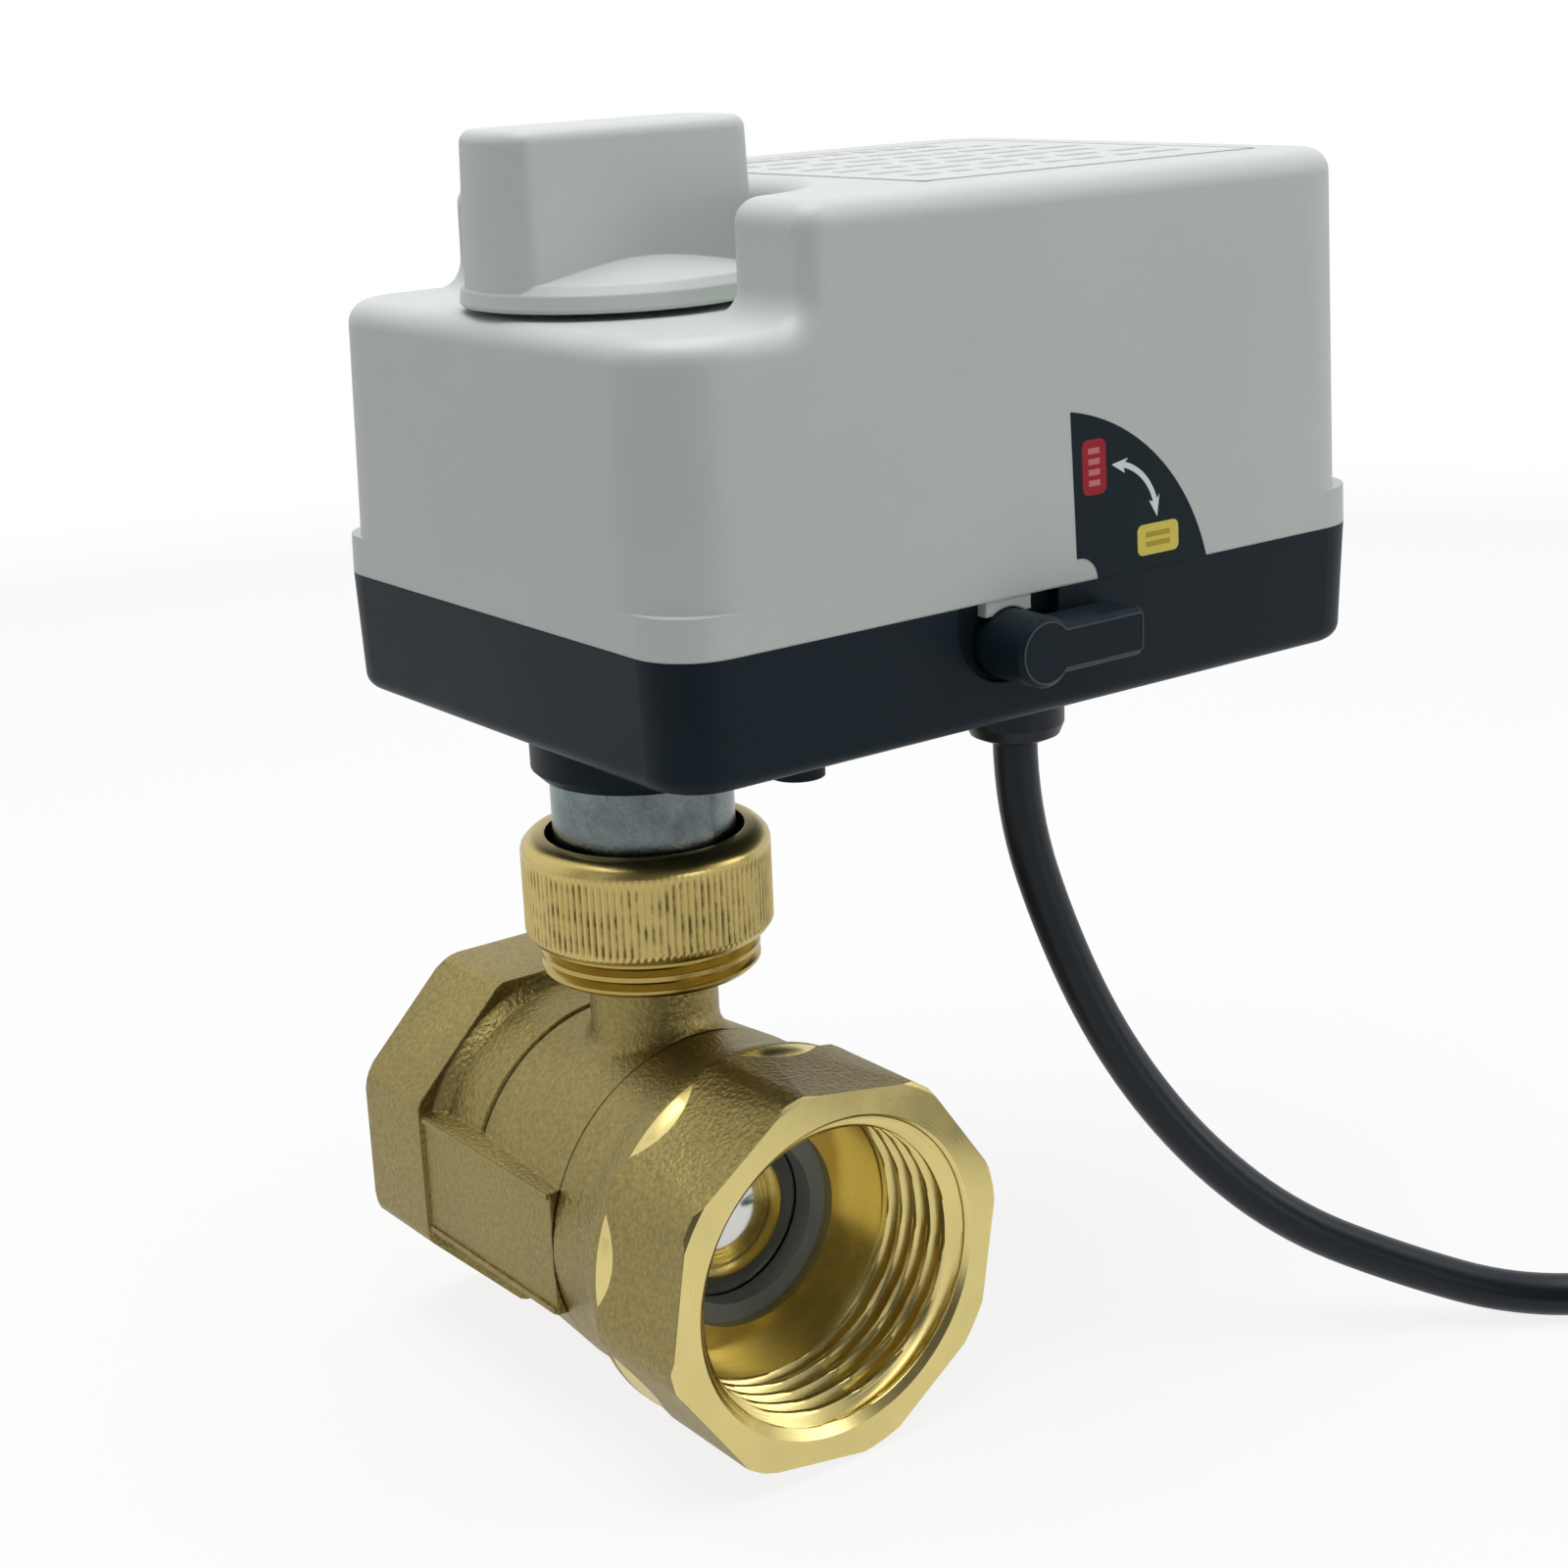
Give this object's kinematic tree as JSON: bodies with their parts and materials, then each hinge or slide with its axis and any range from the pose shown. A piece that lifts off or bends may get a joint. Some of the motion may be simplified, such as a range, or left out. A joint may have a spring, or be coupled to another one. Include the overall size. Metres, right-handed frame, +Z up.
{
  "type": "motorized ball valve",
  "caption": "Brass ball valve with threaded ends, knurled union nut, geared electric actuator, position knob, manual lever and supply cable.",
  "frame": {"origin": "centre of the near (inlet) pipe end's face, on the pipe axis", "axes": "+Y along the pipe from the near end to the far end, +Z up along the valve stem to the knob, +X towards the long end of the actuator"},
  "size_m": [0.1286, 0.156, 0.1317],
  "materials": {
    "forged_brass": "sandblasted forging with turned rings, chamfers and threads",
    "turned_brass": "turned, satin",
    "knurled_brass": "knurled, with dark grime in the grooves",
    "zinc_steel": "zinc plated, satin",
    "chromed_ball": "polished",
    "grey_plastic": "moulded, fine satin grain",
    "black_plastic": "moulded, satin",
    "black_rubber": "smooth, slightly dull",
    "white_nylon": "natural nylon",
    "white_seal": "waxy PTFE",
    "dark_seat": "filled PTFE",
    "green_board": "glass-fibre board with solder mask",
    "orange_case": "dipped capacitor",
    "brown_core": "wire insulation",
    "blue_core": "wire insulation",
    "yellow_core": "wire insulation"
  },
  "bodies": {
    "valve": {"valve_body": "forged_brass", "end_cap": "forged_brass", "body_seal": "white_seal", "inlet_seat": "dark_seat", "outlet_seat": "dark_seat", "stem_washer": "white_seal", "coupling_sleeve": "zinc_steel", "locating_pins": "zinc_steel", "shaft_bushes": "turned_brass", "base_housing": "black_plastic", "cover": "grey_plastic", "cover_gasket": "black_rubber", "cover_screws": "zinc_steel", "knob_seal": "black_rubber", "gear_plate": "zinc_steel", "plate_screws": "zinc_steel", "second_axle": "zinc_steel", "first_axle": "zinc_steel", "guide_pin": "zinc_steel", "motor": "zinc_steel", "motor_screws": "zinc_steel", "clutch_spring": "zinc_steel", "closing_switch": "black_plastic", "opening_switch": "black_plastic", "switch_screws": "zinc_steel", "circuit_board": "green_board", "capacitor": "orange_case", "terminal_block": "white_nylon", "cable_gland": "black_rubber", "inner_cable": "black_rubber", "cable_clamp": "white_nylon", "inner_cores": "blue_core", "power_cable": "black_rubber", "cable_coil": "black_rubber", "cable_tie": "white_nylon", "brown_lead": "brown_core", "blue_lead": "blue_core", "signal_lead": "yellow_core", "lead_ferrules": "zinc_steel"},
    "drive": {"ball": "chromed_ball", "stem": "turned_brass", "stem_seals": "black_rubber", "drive_shaft": "zinc_steel", "output_gear": "zinc_steel", "closing_cam": "white_nylon", "opening_cam": "white_nylon", "knob": "grey_plastic"},
    "second_gear": {"second_gear": "zinc_steel"},
    "clutch_slider": {"clutch_slider": "white_nylon"},
    "first_gear": {"first_gear": "white_nylon"},
    "motor_pinion": {"motor_pinion": "turned_brass", "motor_shaft": "zinc_steel"},
    "manual_lever": {"manual_lever": "black_plastic", "lever_seal": "black_rubber"},
    "slip_washer": {"slip_washer": "zinc_steel"},
    "union_nut": {"union_nut": "knurled_brass"}
  },
  "joints": [
    {"name": "valve_turn", "type": "hinge", "parent": "valve", "child": "drive", "pos_m": [0, 0.03075, 0], "axis": [0, 0, 1], "range_deg": [0, 90]},
    {"name": "second_gear_spin", "type": "hinge", "parent": "valve", "child": "second_gear", "pos_m": [0.01523, 0.03785, 0.06], "axis": [0, 0, 1], "range_deg": [-225, 0]},
    {"name": "lever_turn", "type": "hinge", "parent": "valve", "child": "manual_lever", "pos_m": [0.02235, -0.00225, 0.0609], "axis": [0, -1, 0], "range_deg": [0, 90]},
    {"name": "clutch_slide", "type": "slide", "parent": "valve", "child": "clutch_slider", "axis": [0, 0, 1], "range_m": [0, 0.003], "deforming": ["clutch_spring"]},
    {"name": "first_gear_spin", "type": "hinge", "parent": "clutch_slider", "child": "first_gear", "pos_m": [0.02614, 0.03155, 0.066], "axis": [0, 0, 1], "range_deg": [0, 562.5]},
    {"name": "motor_pinion_spin", "type": "hinge", "parent": "valve", "child": "motor_pinion", "pos_m": [0.03835, 0.036, 0.066], "axis": [0, 0, 1], "range_deg": [-1875, 0]},
    {"name": "nut_turn", "type": "hinge", "parent": "slip_washer", "child": "union_nut", "pos_m": [0, 0.03075, 0.035], "axis": [0, 0, 1], "range_deg": [0, 1200.01]},
    {"name": "nut_rise", "type": "slide", "parent": "valve", "child": "slip_washer", "axis": [0, 0, 1], "range_m": [0, 0.005]}
  ],
  "couplings": [
    {"joint": "second_gear_spin", "follows": "valve_turn", "ratio": -2.5},
    {"joint": "first_gear_spin", "follows": "valve_turn", "ratio": 6.25},
    {"joint": "motor_pinion_spin", "follows": "valve_turn", "ratio": -20.833},
    {"joint": "lever_turn", "follows": "clutch_slide", "rad_per_m": 523.6},
    {"joint": "nut_turn", "follows": "nut_rise", "rad_per_m": 4188.8}
  ]
}
